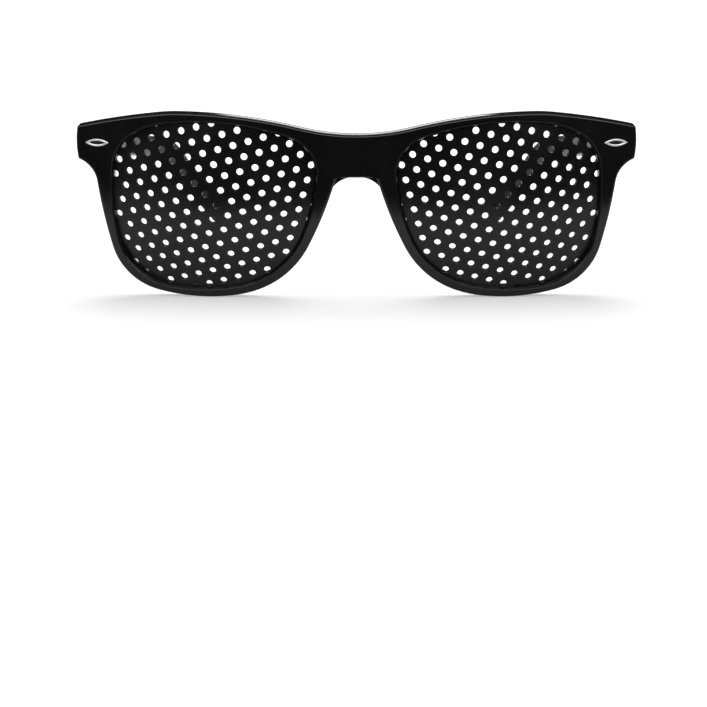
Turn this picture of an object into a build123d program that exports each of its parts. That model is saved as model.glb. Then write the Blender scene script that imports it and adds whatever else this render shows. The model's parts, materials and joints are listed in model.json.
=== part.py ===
from build123d import *
from math import asin, ceil, cos, pi, radians, sin, sqrt
import os

# Pinhole glasses: a black moulded front holding two curved sheets pierced with small holes, and two
# folding temples that hook behind the ears. They stand open on the rims and on the two temple tips.
# Millimetres. The front faces -Y, +Z is up, and left and right are the wearer's: left is at +X.

os.makedirs("parts", exist_ok=True)

# The front
lens_width = 54.0            # widest part of one opening, where it meets the rim's face
lens_height = 45.2
bridge_width = 20.8          # from one opening to the other
rim_side = 2.85              # plastic left of the rim at the outer side of a lens
rim_under = 2.1              # and below it
rim_over = 2.1               # and above it
end_reach = 8.2              # from the opening to the outer side of the end piece
end_height = 8.6             # height of the end piece's outer side
end_foot_share = 0.999       # where its foot ends, as a share of half the front's width
end_swell = 24.0             # curve of that outer side, seen from in front
end_corner = 0.6             # rounding of the end piece's corners
front_thickness = 4.0
front_radius = 700.0         # curve of the front, seen from above
front_lean = 7.0             # degrees that the top leans forward
overrun = 2.0                # how far a cutting tool passes through what it cuts

# The nose: a cut-out in the front, and a saddle moulded on behind it that rests on the nose
arch_width = 10.6
arch_height = 32.9           # top of the cut-out above the foot of the rims
arch_corner = 1.2
saddle_depth = 5.0
saddle_drop = 0.65           # the saddle's arch hangs this far below the cut-out's
saddle_wall = 2.3            # thickness of the saddle where it leaves the front
saddle_lip = 1.5             # and at its rounded back
saddle_lap = 0.5             # how deep its root is sunk in the front
saddle_spread = 1.6          # how far the saddle opens outwards towards its back
saddle_turn = 70.0           # degrees that its wall turns from the top down to a leg's foot

# The perforated lens
lens_thickness = 1.0
lens_radius = 106.0          # curve of the sheet, seen from above
lens_radius_up = 114.0       # and seen from the side
lens_wrap = 2.5              # degrees that each lens turns outwards
lens_rise = 0.8              # the crown of the sheet lies this far above the middle of the opening
lens_proud = 0.75            # and this far in front of the front's face beside it
lens_bevel = 0.6             # the rim's wall stands this far inside that edge, and is drawn upright
groove_depth = 0.8
groove_play = 0.1            # free space round the edge and the faces of the sheet
hole_diameter = 1.8
hole_sides = 6               # each round hole is drawn as a hexagon of the same area
hole_pitch = 4.10              # along a row
row_pitch = 3.99               # and along the slanting lines from row to row
hole_slope = 14.5            # degrees that the rows of holes rise towards the nose
hole_shift_nose = 4.83       # one hole lies this far from the crown towards the nose
hole_shift_up = 1.27         # and this far above it

# The temples
butt_depth = 12.0            # from the middle of the front back to where the temples begin
butt_gap = 0.15
temple_slope = 6.25          # degrees that the temples run downhill to the rear
temple_width = 4.0           # thickness at the hinge
temple_height = 7.2
hinge_drop = 1.75            # the hinge's middle lies this far below the end piece's
lug_lip = 0.15               # how far the lug stands above and below the temple's butt
shaft_width_share = 0.72     # the rest of a temple, as shares of its size at the hinge
shaft_height_share = 0.92
tip_height_share = 1.26
straight_length = 64.0       # from the hinge to where the temple starts to curve inwards
hook_start = 92.0            # from the hinge to the start of the ear hook
hook_radius = 24.0
hook_turn = 44.0             # degrees that the hook turns down
hook_length = 27.0           # straight end of the hook
inward_radius = 104.0        # plan curve towards the head
tip_round = 3.6              # length of the rounded tip
corner_share = 0.28          # bevel along a temple's edges, as a share of its thickness
broad_start = 0.62           # from this share of its length on, a temple's height grows again
broad_share = 0.3            # over this share of its length

# The hinges
barrel_radius = 1.35
barrel_inset = 6.0           # from the temple's outer side in to the pin
barrel_play = 0.15           # free space between a barrel and the plastic beside it
knuckle_height = 1.7
knuckle_gap = 0.1
leaf_thickness = 0.9
leaf_recess = 0.5            # how deep a leaf is let into the plastic
leaf_play = 0.05
leaf_length = 11.0
leaf_start = 1.0             # from the butt joint to the temple leaf's plate
arm_width = 2.2              # width of the arm from the middle barrel to that plate
leaf_base = 4.2              # width of the front leaf's foot
anchor_depth = 0.8           # barb that holds a leaf in the plastic
anchor_length = 3.0
anchor_height = 2.4
screw_radius = 0.6
screw_fit = 0.03
running_fit = 0.05
slot_width = 0.3
slot_depth = 0.25

# The plaques
plaque_length = 6.2
plaque_height = 2.0
plaque_thickness = 0.8
plaque_proud = 0.35
plaque_play = 0.05
plaque_rim = 0.42
plaque_dish = 0.25
plaque_inset = 5.4           # from the end piece's outer side to the middle of the plaque
plaque_drop = 4.2            # from the end piece's top corner down to it
stud_side = 0.9
stud_length = 1.8
stud_spread = 3.0


def sag(x, radius):
    """Depth of an arc of this radius at a distance x from its crown."""
    return radius - sqrt(radius ** 2 - x ** 2)


# Places worked out from the sizes
lens_x = (bridge_width + lens_width) / 2
lens_z = rim_under + lens_height / 2
half_width = lens_x + lens_width / 2 + end_reach
front_height = rim_under + lens_height + rim_over

# Outlines, as shares of the sizes that they follow. Each is a chain of arcs: end, middle, end and so on
lens_shares = [
    (0.436, 0.983), (-0.152, 0.985), (-0.736, 0.839), (-0.948, 0.649), (-1.01, 0.345), (-0.956, -0.011),
    (-0.857, -0.353), (-0.59, -0.762), (-0.19, -0.972), (0.131, -1.006), (0.453, -0.979), (0.793, -0.776),
    (0.969, -0.374), (1.002, 0.048), (0.978, 0.472), (0.902, 0.702), (0.748, 0.867), (0.596, 0.943),
]
brow_shares = [
    (0.0, 0.889), (0.098, 0.897), (0.195, 0.922), (0.409, 0.979), (0.626, 1.0), (0.667, 0.999),
    (0.708, 0.994), (0.851, 0.966), (0.994, 0.926),
]
rim_shares = [
    (1.069, 0.403), (1.025, 0.258), (0.985, -0.099), (0.924, -0.453), (0.785, -0.755), (0.538, -0.929),
    (0.207, -0.996), (-0.129, -0.985), (-0.24, -0.961), (-0.348, -0.924), (-0.624, -0.733),
    (-0.822, -0.433), (-0.967, -0.049),
]
saddle_shares = [(0.46, 0.957), (0.717, 0.826), (0.953, 0.622), (1.27, 0.43)]

# Planes: the leaning face of the front, and the view of the front from above
front_y = -64.14             # puts the middle of the glasses over the origin
foot_lift = -sag(lens_x, front_radius) * sin(radians(front_lean))
FRONT = Plane(
    origin=(0, front_y, foot_lift),
    x_dir=(1, 0, 0),
    z_dir=(0, -cos(radians(front_lean)), -sin(radians(front_lean))),
)
PLAN = Plane(origin=FRONT.origin, x_dir=FRONT.x_dir, z_dir=FRONT.y_dir)


def lens_points(extra):
    """Points of the left lens outline, grown by extra all round."""
    half_w = lens_width / 2 + extra
    half_h = lens_height / 2 + extra
    return [(lens_x + x * half_w, lens_z + y * half_h) for x, y in lens_shares]


def arc_chain(points):
    """Draw arcs one after the other, each through three points and starting where the last one ended."""
    for start, middle, end in zip(points[::2], points[1::2], points[2::2]):
        ThreePointArc(start, middle, end)


def lens_outline(extra, side=1):
    """Draw the lens outline, grown by extra all round, on the left or, for a side of -1, the right."""
    points = [(side * x, y) for x, y in lens_points(extra)]
    arc_chain(points + points[:1])


def front_outline():
    """Draw the left half of the front's outline, from the brow round to the nose."""
    brow = [(x * half_width, y * front_height) for x, y in brow_shares]
    corner = (half_width * end_foot_share, brow[-1][1] - end_height)
    rim = [
        (lens_x + x * (lens_width / 2 + rim_side), lens_z + y * lens_z)
        for x, y in rim_shares
    ]
    arch = (arch_width / 2, arch_height)
    arc_chain(brow)
    RadiusArc(brow[-1], corner, end_swell)
    arc_chain([corner, *rim, arch])
    Line(arch, (0, arch_height))
    Line((0, arch_height), brow[0])


front_top = brow_shares[-1][1] * front_height
end_x = brow_shares[-1][0] * half_width
hinge_z = front_top - end_height / 2 - hinge_drop
pin_x = end_x - barrel_inset
lug_inner = pin_x + barrel_radius + barrel_play


def slab(thickness, start):
    """Draw the front's curved thickness, seen from above, starting this deep behind its face."""
    outer = front_radius - start
    inner = outer - thickness
    x = half_width + overrun
    left, right = (-x, start + sag(x, outer)), (x, start + sag(x, outer))
    rear_right = (x, start + thickness + sag(x, inner))
    rear_left = (-x, start + thickness + sag(x, inner))
    ThreePointArc(left, (0, start), right)
    Line(right, rear_right)
    ThreePointArc(rear_right, (0, start + thickness), rear_left)
    Line(rear_left, left)


# The crown of the left lens looks outwards by the wrap. The axis of its curve stands behind it
crown = Vector(lens_x, lens_z + lens_rise, lens_proud - sag(lens_x, front_radius))
turn = radians(lens_wrap)
LENS = Plane(
    origin=FRONT.from_local_coords(crown),
    x_dir=FRONT.x_dir * cos(turn) - FRONT.z_dir * sin(turn),
    z_dir=FRONT.z_dir * cos(turn) + FRONT.x_dir * sin(turn),
)
HUB = Plane(origin=LENS.offset(-lens_radius).origin, x_dir=LENS.z_dir, z_dir=LENS.y_dir)
sheet_turn = 2 * lens_width / lens_radius * 180 / pi


def sheet_slice(up, thickness):
    """A level slice of the uncut sheet, this far above the crown: a piece of a ring round the axis."""
    outer = lens_radius + thickness / 2 - sag(up, lens_radius_up + thickness / 2)
    inner = lens_radius - thickness / 2 - sag(up, lens_radius_up - thickness / 2)
    with BuildSketch(HUB.offset(up)) as level:
        with BuildLine():
            front_arc = CenterArc((0, 0), outer, -sheet_turn / 2, sheet_turn)
            rear_arc = CenterArc((0, 0), inner, -sheet_turn / 2, sheet_turn)
            Line(front_arc @ 0, rear_arc @ 0)
            Line(front_arc @ 1, rear_arc @ 1)
        make_face()
    return level.sketch.face()


def lens_sheet(extra, thickness):
    """The left lens without holes: its outline grown by extra, cut from a sheet that curves both ways."""
    with BuildPart() as sheet:
        with BuildSketch(FRONT.offset(overrun)):
            with BuildLine():
                lens_outline(extra)
            make_face()
        extrude(amount=-butt_depth)
        levels = (-lens_height / 2 - overrun, 0, lens_height / 2 + overrun)
        loft([sheet_slice(up, thickness) for up in levels], mode=Mode.INTERSECT)
    return sheet.part


# The hinge pin stands upright in the front's own plane
PIN = Plane(
    origin=FRONT.from_local_coords(Vector(pin_x, 0, -butt_depth)),
    x_dir=(1, 0, 0),
    z_dir=FRONT.y_dir,
)
leaf_floor = front_thickness + sag(pin_x, front_radius) - leaf_recess
knuckle_step = knuckle_height + knuckle_gap
leaf_height = 2 * knuckle_step + knuckle_height

# The plaque lies square on the curved face
plaque_x = half_width - plaque_inset
plaque_z = front_top - plaque_drop
tilt = asin(plaque_x / front_radius)
PLAQUE = Plane(
    origin=FRONT.from_local_coords(Vector(plaque_x, plaque_z, -sag(plaque_x, front_radius))),
    x_dir=FRONT.x_dir * cos(tilt) - FRONT.z_dir * sin(tilt),
    z_dir=FRONT.z_dir * cos(tilt) + FRONT.x_dir * sin(tilt),
)

# A temple is drawn in its own side view: along the temple, then up
slope = radians(temple_slope)
temple_x = end_x - temple_width / 2
TEMPLE = Plane(
    origin=FRONT.from_local_coords(Vector(temple_x, hinge_z, -butt_depth)),
    x_dir=(0, cos(slope), -sin(slope)),
    z_dir=(1, 0, 0),
)
LEAF = TEMPLE.offset(-temple_width / 2)
arm_reach = temple_x - temple_width / 2 - leaf_play - pin_x


def pointed_oval(grow):
    """Draw the plaque's outline: two arcs that meet in a point at either end, twice as far out there."""
    end = plaque_length / 2 + 2 * grow
    top = plaque_height / 2 + grow
    ThreePointArc((-end, 0), (0, top), (end, 0))
    ThreePointArc((end, 0), (0, -top), (-end, 0))


def knuckle(bore, reach):
    """Draw a barrel round the pin with an arm that runs forwards, seen from above."""
    Circle(barrel_radius)
    with Locations((0, -reach / 2)):
        Rectangle(2 * barrel_radius, reach)
    Circle(bore, mode=Mode.SUBTRACT)


def saddle(depth, spread):
    """Draw the saddle's inverted U at this depth behind the front, opened outwards by spread."""
    wall = saddle_wall if spread == 0 else saddle_lip
    top = arch_height - saddle_drop + spread / 2
    inner = [(0, top)] + [(arch_width * x + spread * (1 - y), top * y) for x, y in saddle_shares]
    turns = [radians(saddle_turn) * x / inner[-1][0] for x, y in inner]
    outer = [(x + wall * sin(a), y + wall * cos(a)) for (x, y), a in zip(inner, turns)]
    with BuildSketch(FRONT.offset(-depth)) as drawing:
        with BuildLine():
            arc_chain(inner)
            Line(inner[-1], outer[-1])
            arc_chain(outer)
            Line(inner[0], outer[0])
        make_face()
        mirror(about=Plane.YZ)
    return drawing.sketch


def leaf_foot(play):
    """The foot of the front leaf, with the barb that holds it, grown by play for its seat."""
    reach = butt_depth - leaf_floor
    with BuildPart() as foot:
        with BuildSketch(PIN.offset(hinge_z - leaf_height / 2 - play)):
            with Locations((barrel_radius - leaf_base / 2, leaf_thickness / 2 - reach)):
                Rectangle(leaf_base + 2 * play, leaf_thickness)
        extrude(amount=leaf_height + 2 * play)
        with BuildSketch(PIN.offset(hinge_z - anchor_height / 2 - play)):
            with Locations((0, -reach - anchor_depth / 2 - play / 2)):
                Rectangle(anchor_height + 2 * play, anchor_depth + play)
        extrude(amount=anchor_height + 2 * play)
    return foot.part


def leaf_seat():
    """What the front leaf's foot takes out of the plastic, with a little play."""
    return leaf_foot(leaf_play)


def plaque_seat():
    """The shallow recess and the two holes that a plaque is pressed into."""
    with BuildPart() as seat:
        with BuildSketch(PLAQUE.offset(plaque_proud)):
            with BuildLine():
                pointed_oval(plaque_play)
            make_face()
        extrude(amount=-plaque_thickness)
        with BuildSketch(PLAQUE):
            with Locations((-stud_spread / 2, 0), (stud_spread / 2, 0)):
                Rectangle(stud_side + 2 * plaque_play, stud_side + 2 * plaque_play)
        extrude(amount=plaque_proud - plaque_thickness - stud_length - plaque_play)
    return seat.part


def finish(solid, name):
    """Label a finished piece and write it."""
    solid.label = name
    export_step(solid, f"parts/{name}.step")
    print(name, solid.is_valid, len(solid.solids()), round(solid.volume, 2))


with BuildPart() as front_frame:
    with BuildSketch(FRONT.offset(overrun)) as outline:
        with BuildLine():
            front_outline()
        make_face()
        fillet(outline.vertices().sort_by(Axis.X)[-2:], end_corner)
        fillet(outline.vertices().sort_by_distance((arch_width / 2, arch_height))[0], arch_corner)
        mirror(about=Plane.YZ)
    extrude(amount=-butt_depth)
    with BuildSketch(PLAN):
        with BuildLine():
            slab(front_thickness, 0)
        make_face()
    extrude(amount=front_height + overrun, mode=Mode.INTERSECT)
    # A lug behind each end piece: the temple butts against its rear face
    with BuildSketch(FRONT.offset(-butt_depth)):
        with BuildLine():
            front_outline()
        make_face()
        with Locations(((lug_inner + half_width + overrun) / 2, hinge_z)):
            Rectangle(half_width + overrun - lug_inner, temple_height + 2 * lug_lip, mode=Mode.INTERSECT)
        mirror(about=Plane.YZ)
    extrude(amount=butt_depth - sag(half_width, front_radius) - front_thickness / 2)
    # The openings, and the groove that each sheet snaps into
    for lens_side in (1, -1):
        with BuildSketch(FRONT.offset(overrun)):
            with BuildLine():
                lens_outline(-lens_bevel, lens_side)
            make_face()
        extrude(amount=-butt_depth, mode=Mode.SUBTRACT)
    groove = lens_sheet(groove_depth - lens_bevel, lens_thickness + 2 * groove_play)
    add(groove, mode=Mode.SUBTRACT)
    add(groove.mirror(Plane.YZ), mode=Mode.SUBTRACT)
    # The saddle opens backwards and runs down both sides of the nose
    saddle_root = saddle(front_thickness - saddle_lap, 0)
    saddle_back = saddle(front_thickness + saddle_depth, saddle_spread)
    loft([saddle_root.face(), saddle_back.face()])
    # Seats for the hinge leaves and the plaques
    for seat in (1, -1):
        for tool in (leaf_seat(), plaque_seat()):
            add(tool if seat == 1 else tool.mirror(Plane.YZ), mode=Mode.SUBTRACT)
finish(front_frame.part, "front_frame")

# The perforated sheets: rows of holes on a triangular grid, each square to the sheet
rise = radians(hole_slope)
across = Vector(-cos(rise), sin(rise)) * hole_pitch
down = Vector(-cos(radians(60) - rise), -sin(radians(60) - rise)) * row_pitch
hole_radius = hole_diameter / 2 * sqrt(2 * pi / hole_sides / sin(2 * pi / hole_sides))
reach_count = ceil(lens_width / row_pitch)


def hole_plane(x, y):
    """The plane square to the sheet at x, y measured along its curves from the crown."""
    level = LENS.z_dir * cos(x / lens_radius) + LENS.x_dir * sin(x / lens_radius)
    out = level * cos(y / lens_radius_up) + LENS.y_dir * sin(y / lens_radius_up)
    middle = HUB.origin + level * (lens_radius - lens_radius_up)
    return Plane(origin=middle + out * (lens_radius_up - lens_thickness), x_dir=LENS.y_dir, z_dir=out)


def inside(x, y):
    """Whether a hole centred here still cuts the part of the sheet that shows."""
    half_w = lens_width / 2 + hole_diameter / 4
    half_h = lens_height / 2 + hole_diameter / 4
    outline = [(a * half_w, b * half_h - lens_rise) for a, b in lens_shares]
    crossings = 0
    for (ax, ay), (bx, by) in zip(outline, outline[1:] + outline[:1]):
        if (ay > y) != (by > y) and x < ax + (y - ay) * (bx - ax) / (by - ay):
            crossings += 1
    return crossings % 2 == 1


hole_planes = []
for i in range(-reach_count, reach_count + 1):
    for j in range(-reach_count, reach_count + 1):
        spot = across * i + down * j + Vector(-hole_shift_nose, hole_shift_up)
        if inside(spot.X, spot.Y):
            hole_planes.append(hole_plane(spot.X, spot.Y))
print("holes in each lens:", len(hole_planes))

with BuildPart() as lens_left:
    add(lens_sheet(groove_depth - lens_bevel - groove_play, lens_thickness))
    with BuildSketch(*hole_planes):
        RegularPolygon(hole_radius, hole_sides)
    extrude(amount=2 * lens_thickness, mode=Mode.SUBTRACT)
finish(lens_left.part, "lens_left")

# A temple: bevelled sections strung along a line that runs straight, then hooks down and inwards
hook_angle = radians(hook_turn)
path_length = hook_start + hook_radius * hook_angle + hook_length
curve_shares = [0.0, 0.28, 0.52, 0.72, 1.0]
tip_angles = [90, 55, 32, 14]


def ease(share):
    """From 0 to 1 with a slow start and a slow end."""
    step = min(max(share, 0), 1)
    return step * step * (3 - 2 * step)


def temple_section(s, scale):
    """The bevelled section at distance s along a temple, shrunk by scale near the tip."""
    bend = min(max(s - hook_start, 0) / hook_radius, hook_angle)
    past = max(s - hook_start - hook_radius * hook_angle, 0)
    along = min(s, hook_start) + hook_radius * sin(bend) + past * cos(bend)
    fall = hook_radius * (1 - cos(bend)) + past * sin(bend)
    curved = max(along - straight_length, 0)
    inward = sag(curved, inward_radius)
    lead = curved / (inward_radius - inward)
    flat = Vector(cos(bend), -sin(bend), -lead * cos(bend)).normalized()
    tangent = TEMPLE.x_dir * flat.X + TEMPLE.y_dir * flat.Y + TEMPLE.z_dir * flat.Z
    up = TEMPLE.x_dir * sin(bend) + TEMPLE.y_dir * cos(bend)
    share = s / path_length
    taper = min(max(s / straight_length, 0), 1)
    thick = temple_width * (1 - (1 - shaft_width_share) * taper)
    lower = (1 - shaft_height_share) * taper
    higher = (tip_height_share - shaft_height_share) * ease((share - broad_start) / broad_share)
    tall = temple_height * (1 - lower + higher)
    plane = Plane(
        origin=TEMPLE.from_local_coords(Vector(along, -fall, -inward)),
        x_dir=up.cross(tangent),
        z_dir=tangent,
    )
    with BuildSketch(plane) as section:
        Rectangle(thick * scale, tall * scale)
        chamfer(section.vertices(), corner_share * thick * scale)
    return section.sketch.face()


with BuildPart() as temple_left:
    body_end = path_length - tip_round
    loft([temple_section(s, 1) for s in (-overrun, 0, straight_length)], ruled=True)
    loft([
        temple_section(straight_length + share * (body_end - straight_length), 1)
        for share in curve_shares
    ])
    loft([
        temple_section(body_end + tip_round * cos(radians(angle)), sin(radians(angle)))
        for angle in tip_angles
    ])
    split(bisect_by=FRONT.offset(-butt_depth - butt_gap), keep=Keep.BOTTOM)
    with BuildSketch(LEAF.offset(leaf_recess)):
        with Locations((leaf_start + leaf_length / 2, 0)):
            Rectangle(leaf_length + 2 * leaf_play, leaf_height + 2 * leaf_play)
    extrude(amount=-leaf_recess - overrun, mode=Mode.SUBTRACT)
    with BuildSketch(LEAF):
        with Locations((leaf_start + leaf_length - anchor_length, 0)):
            Rectangle(anchor_length + 2 * leaf_play, anchor_height + 2 * leaf_play)
    extrude(amount=leaf_recess + anchor_depth + leaf_play, mode=Mode.SUBTRACT)
finish(temple_left.part, "temple_left")

# The leaf on the temple: a plate let into its inner side, with the middle barrel
with BuildPart() as temple_hinge_left:
    with BuildSketch(LEAF.offset(leaf_recess)):
        with Locations((leaf_start + leaf_length / 2, 0)):
            Rectangle(leaf_length, leaf_height)
    extrude(amount=-leaf_thickness)
    with BuildSketch(LEAF.offset(leaf_recess)):
        with Locations((leaf_start + leaf_length - anchor_length, 0)):
            Rectangle(anchor_length, anchor_height)
    extrude(amount=anchor_depth)
    with BuildSketch(PIN.offset(hinge_z - knuckle_height / 2)):
        Circle(barrel_radius)
        with Locations((arm_reach / 2, butt_gap + arm_width / 2)):
            Rectangle(arm_reach, arm_width)
        Circle(screw_radius + running_fit, mode=Mode.SUBTRACT)
    extrude(amount=knuckle_height)
finish(temple_hinge_left.part, "temple_hinge_leaf_left")

# The leaf on the front: a foot let into the back of the end piece, with the two outer barrels
with BuildPart() as front_hinge_left:
    add(leaf_foot(0))
    for start in (-knuckle_step - knuckle_height / 2, knuckle_step - knuckle_height / 2):
        with BuildSketch(PIN.offset(hinge_z + start)):
            knuckle(screw_radius + screw_fit, butt_depth - leaf_floor - leaf_thickness / 2)
        extrude(amount=knuckle_height)
finish(front_hinge_left.part, "front_hinge_leaf_left")

# The headless screw that the temple turns on, with its slot at the top
with BuildPart() as hinge_screw_left:
    with BuildSketch(PIN.offset(hinge_z - leaf_height / 2)):
        Circle(screw_radius)
    extrude(amount=leaf_height)
    with BuildSketch(PIN.offset(hinge_z + leaf_height / 2)):
        Rectangle(2 * screw_radius, slot_width)
    extrude(amount=-slot_depth, mode=Mode.SUBTRACT)
finish(hinge_screw_left.part, "hinge_screw_left")

# The bright plaque on the end piece: a dished pointed oval on two studs
with BuildPart() as plaque_left:
    with BuildSketch(PLAQUE.offset(plaque_proud)):
        with BuildLine():
            pointed_oval(0)
        make_face()
    extrude(amount=-plaque_thickness)
    with BuildSketch(PLAQUE.offset(plaque_proud)):
        with BuildLine():
            pointed_oval(-plaque_rim)
        make_face()
    extrude(amount=-plaque_dish, mode=Mode.SUBTRACT)
    with BuildSketch(PLAQUE.offset(plaque_proud - plaque_thickness)):
        with Locations((-stud_spread / 2, 0), (stud_spread / 2, 0)):
            Rectangle(stud_side, stud_side)
    extrude(amount=-stud_length)
finish(plaque_left.part, "front_plaque_left")

# The right side is the left side seen in a mirror
for piece in (lens_left, temple_left, temple_hinge_left, front_hinge_left, hinge_screw_left, plaque_left):
    name = piece.part.label.replace("_left", "_right")
    with BuildPart() as twin:
        mirror(piece.part, about=Plane.YZ)
    finish(twin.part, name)
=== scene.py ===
import json

import bmesh
import bpy
import numpy as np
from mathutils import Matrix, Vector
from mathutils.geometry import delaunay_2d_cdt


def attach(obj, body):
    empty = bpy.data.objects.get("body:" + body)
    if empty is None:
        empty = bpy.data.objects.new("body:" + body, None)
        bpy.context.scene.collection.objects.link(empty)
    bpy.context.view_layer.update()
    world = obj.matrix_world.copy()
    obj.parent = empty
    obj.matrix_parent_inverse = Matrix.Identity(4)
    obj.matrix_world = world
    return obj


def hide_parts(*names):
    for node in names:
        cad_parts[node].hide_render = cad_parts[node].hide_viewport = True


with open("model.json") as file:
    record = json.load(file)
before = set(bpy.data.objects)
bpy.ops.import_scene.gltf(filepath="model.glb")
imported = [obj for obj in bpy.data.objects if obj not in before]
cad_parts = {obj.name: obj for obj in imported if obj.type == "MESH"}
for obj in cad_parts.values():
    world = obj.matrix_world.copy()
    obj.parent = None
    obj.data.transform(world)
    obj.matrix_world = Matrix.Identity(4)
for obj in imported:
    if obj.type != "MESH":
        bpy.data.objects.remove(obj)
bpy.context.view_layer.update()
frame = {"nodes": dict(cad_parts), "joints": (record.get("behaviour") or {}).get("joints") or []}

# THE FRONT is one black moulding: two rims, a bridge with a square nose cut-out, an end piece with a
# lug behind it at either side, and a saddle that rests on the nose. Its edges left the mould slightly
# round, and each opening is bevelled down to the lens. Sizes are in millimetres across, up and out.
mm = 0.001
# The left hinge's pin slopes with the front: it gives the three directions and the front's foot
hinge = next(joint for joint in frame["joints"] if joint["name"] == "left_temple_fold")
up = np.array(hinge["axis"])
side = np.array([1.0, 0.0, 0.0])
out = np.cross(side, up)
pin_x, hinge_z, butt_depth = 66.1644, 39.6944, 12.0
foot = np.array(hinge["pos_m"]) + mm * (butt_depth * out - pin_x * side - hinge_z * up)

half_width, front_height, front_radius, front_thickness = 72.6, 49.4, 700.0, 4.0
lens_x, lens_z, lens_half_width, lens_half_height = 37.4, 24.7, 27.0, 22.6
rim_side, end_height, end_foot_share, end_swell, swell_share, end_corner = 2.85, 8.6, 0.999, 24.0, 0.97, 0.6
arch_side, arch_height, arch_corner, bridge_drop = 5.3, 32.9, 1.2, 4.0
lens_bevel, bevel_depth, bevel_lip = 0.6, 1.2, 0.1
front_edge, rear_edge, inner_edge, inner_edge_depth = 0.55, 0.45, 0.22, 0.6
# How many points each arc of an outline gets, and then the arch, the middle line and a rounded corner
brow_count, side_count, rim_count, opening_count = 14, 8, 16, 40
arch_count, middle_count, corner_count = 8, 14, 7

# Each outline is a chain of arcs, end, middle, end and so on, as shares of the sizes that it follows
lens_shares = [
    (0.436, 0.983), (-0.152, 0.985), (-0.736, 0.839), (-0.948, 0.649), (-1.01, 0.345), (-0.956, -0.011),
    (-0.857, -0.353), (-0.59, -0.762), (-0.19, -0.972), (0.131, -1.006), (0.453, -0.979), (0.793, -0.776),
    (0.969, -0.374), (1.002, 0.048), (0.978, 0.472), (0.902, 0.702), (0.748, 0.867), (0.596, 0.943),
]
brow_shares = [
    (0.0, 0.889), (0.098, 0.897), (0.195, 0.922), (0.409, 0.979), (0.626, 1.0), (0.667, 0.999),
    (0.708, 0.994), (0.851, 0.966), (0.994, 0.926),
]
rim_shares = [
    (1.069, 0.403), (1.025, 0.258), (0.985, -0.099), (0.924, -0.453), (0.785, -0.755), (0.538, -0.929),
    (0.207, -0.996), (-0.129, -0.985), (-0.24, -0.961), (-0.348, -0.924), (-0.624, -0.733),
    (-0.822, -0.433), (-0.967, -0.049),
]


def place(local):
    """Points given across, up and out from the front's foot, in millimetres, as points of the frame."""
    return foot + mm * (np.asarray(local) @ np.stack([side, up, out]))


def sag(x, radius):
    """Depth of an arc of this radius at a distance x from its crown."""
    return radius - np.sqrt(radius ** 2 - x ** 2)


def arc_chain(points, count):
    """Complex points along arcs, count to each. An arc's centre comes from the ratio of its two chords,
    and its points turn round it in even steps from the first point, through the middle, to the last."""
    z = np.array([complex(*p) for p in points])
    start, middle, end = z[:-2:2], z[1:-1:2], z[2::2]
    ratio = (end - start) / (middle - start)
    centre = start + (middle - start) * (ratio - abs(ratio) ** 2) / (2j * ratio.imag)
    sweep = np.angle((middle - centre) / (start - centre)) + np.angle((end - centre) / (middle - centre))
    turns = np.exp(1j * sweep[:, None] * np.arange(count) / count)
    return np.append((centre[:, None] + (start - centre)[:, None] * turns).ravel(), z[-1])


def round_corner(line, corner, radius, count):
    """A line of complex points with one corner rounded: the points near it give way to an arc that
    leaves the first side and joins the second one tangentially."""
    at = int(np.argmin(abs(line - corner)))
    heading = line[at] - line[at - 1]
    heading /= abs(heading)
    turn = np.angle((line[at + 1] - line[at]) / heading)
    reach = radius * np.tan(abs(turn) / 2)
    steps = 1j * turn * np.linspace(0, 1, count)
    arc = line[at] - reach * heading + heading * radius * (np.exp(steps) - 1) / (1j * np.sign(turn))
    before = line[:at][abs(line[:at] - line[at]) > reach]
    after = line[at + 1:][abs(line[at + 1:] - line[at]) > reach]
    return np.concatenate([before, arc, after])


def lens_line(extra, count):
    """The left opening's outline, grown by extra all round, as count complex points to each arc."""
    size = np.array([lens_half_width + extra, lens_half_height + extra])
    return arc_chain(np.array(lens_shares + lens_shares[:1]) * size + (lens_x, lens_z), count)


def grid_faces(rows, columns, closed_rows=False, closed_columns=True):
    """Quads of a grid of points kept row by row; a closed direction joins its last line to its first."""
    r = np.arange(rows if closed_rows else rows - 1)[:, None]
    c = np.arange(columns if closed_columns else columns - 1)[None, :]
    r2, c2 = (r + 1) % rows, (c + 1) % columns
    quads = np.stack([r * columns + c, r * columns + c2, r2 * columns + c2, r2 * columns + c], axis=-1)
    return quads.reshape(-1, 4)


def fan_faces(start, count, tip):
    """Triangles from each point of a closed row of count points, and its next one, to the tip. They are
    written as quads that name the tip twice, so that they stack with a grid's."""
    row = np.arange(count)
    return np.stack([start + row, start + (row + 1) % count, 0 * row + tip, 0 * row + tip], axis=1)


def mirrored(points, faces):
    """The points and faces with their mirror image at the other side, its faces turned to point out."""
    twin = points * (-1, 1, 1)
    return np.vstack([points, twin]), np.vstack([faces, faces[:, ::-1] + len(points)])


def closed_tube(tube):
    """The points of a tube given as rows round it, with the middles of its first and last row added, and
    its faces: quads between the rows and a fan over either end."""
    rows, columns = tube.shape[:2]
    points = np.vstack([tube.reshape(-1, 3), tube[0].mean(axis=0)[None], tube[-1].mean(axis=0)[None]])
    start_cap = fan_faces(0, columns, rows * columns)[:, ::-1]
    end_cap = fan_faces((rows - 1) * columns, columns, rows * columns + 1)
    return points, np.vstack([grid_faces(rows, columns), start_cap, end_cap])


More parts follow.
